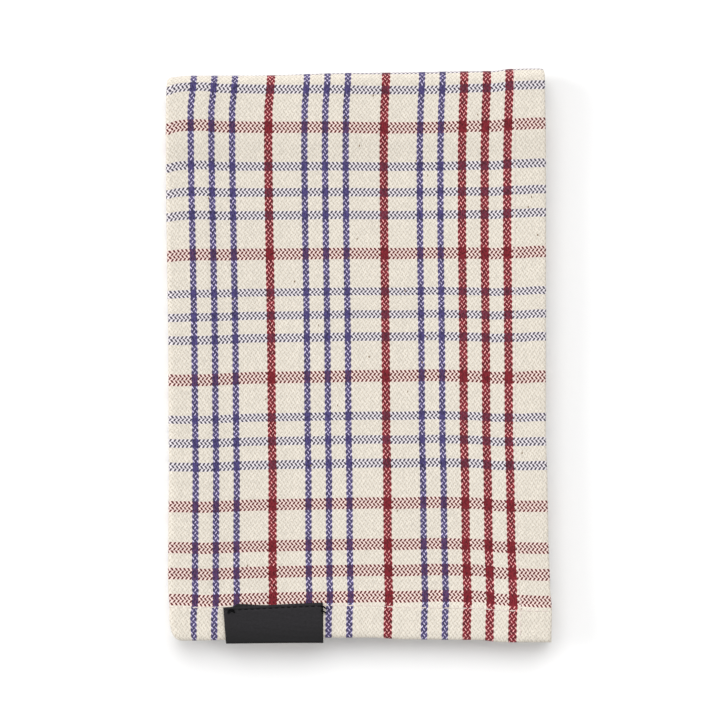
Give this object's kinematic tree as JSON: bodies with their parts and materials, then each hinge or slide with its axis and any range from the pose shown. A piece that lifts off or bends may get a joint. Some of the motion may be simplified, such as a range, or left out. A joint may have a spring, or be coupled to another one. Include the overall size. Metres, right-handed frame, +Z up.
{
  "type": "tea towel",
  "caption": "Hemmed woven check tea towel, folded in thirds both ways into a flat oblong pack, with a blank doubled tape label on its end hem.",
  "frame": {"origin": "on the surface the pack lies on, under the middle of its box", "axes": "+Z up; +Y towards the big outer fold, away from the end hem that lies uppermost; +X towards the side hem that lies uppermost"},
  "size_m": [0.1536, 0.2292, 0.0143],
  "materials": {
    "towel_cotton": "ecru cotton twill with indigo and burgundy check stripes, matt",
    "label_tape": "black woven polyester tape, blank, slight sheen"
  },
  "bodies": {
    "root": {"towel": "towel_cotton", "label": "label_tape"}
  },
  "joints": []
}
